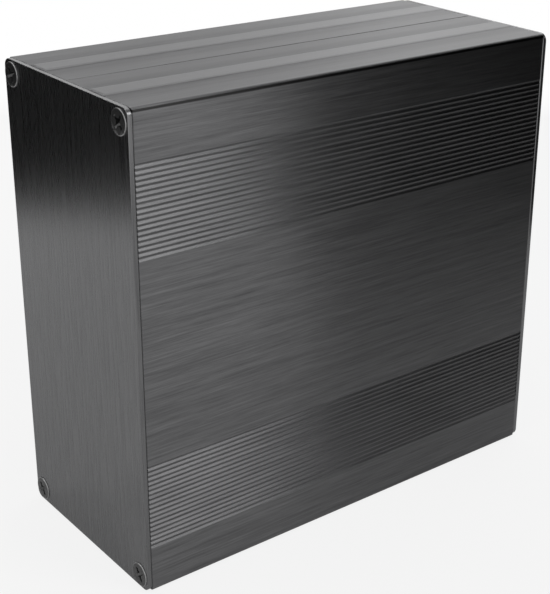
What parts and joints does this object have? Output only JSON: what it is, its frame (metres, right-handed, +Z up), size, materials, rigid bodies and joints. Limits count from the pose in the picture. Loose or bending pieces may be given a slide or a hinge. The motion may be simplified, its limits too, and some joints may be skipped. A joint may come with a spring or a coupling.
{
  "type": "extruded aluminium enclosure",
  "caption": "Black anodised electronics enclosure: interlocking half shells with ribbed large faces, closed by flat screwed end plates.",
  "frame": {"origin": "centre of the bounding box at its base, on the plane of the two strips that the enclosure stands on", "axes": "+X along the extrusion from the left to the right end plate, +Y from the front to the back shell, +Z up"},
  "size_m": [0.1538, 0.068, 0.1458],
  "materials": {
    "shell": "black anodised, brushed along the extrusion",
    "end_plate": "black anodised, brushed upright",
    "screw": "black oxide"
  },
  "bodies": {
    "root": {"front_shell": "shell", "back_shell": "shell", "left_end_plate": "end_plate", "right_end_plate": "end_plate", "left_plate_screws": "screw", "right_plate_screws": "screw"}
  },
  "joints": []
}
